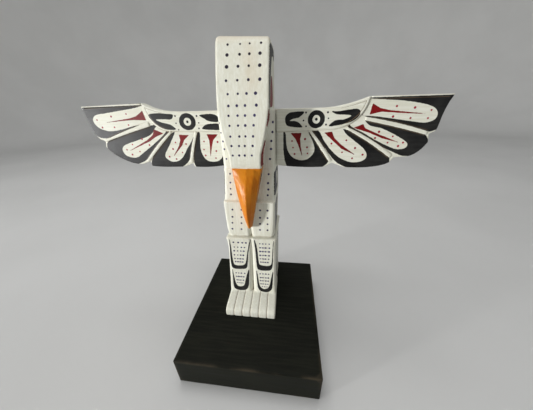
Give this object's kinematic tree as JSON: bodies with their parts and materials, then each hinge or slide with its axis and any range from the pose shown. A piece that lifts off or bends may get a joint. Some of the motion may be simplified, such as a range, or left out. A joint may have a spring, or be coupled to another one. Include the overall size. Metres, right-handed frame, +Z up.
{
  "type": "totem pole",
  "caption": "Small carved and painted eagle totem with outspread plank wings, a tall dotted face, a downturned beak and toed feet, standing on a thick rectangular board.",
  "frame": {"origin": "on the underside of the board, under the middle of the wing span and half way along the board's depth", "axes": "+X to the right wing as seen from the front, -Y to the front of the figure, +Z up from the underside"},
  "size_m": [0.5084, 0.216, 0.4453],
  "materials": {
    "black_paint": "matte black brushed paint on wood",
    "white_paint": "satin off-white brushed paint on carved wood, with an orange beak, dark dots and black U shapes",
    "wing_paint": "satin off-white, black and red brushed paint on carved wood"
  },
  "bodies": {
    "root": {"base_board": "black_paint", "eagle_post": "white_paint", "left_wing": "wing_paint", "right_wing": "wing_paint"}
  },
  "joints": []
}
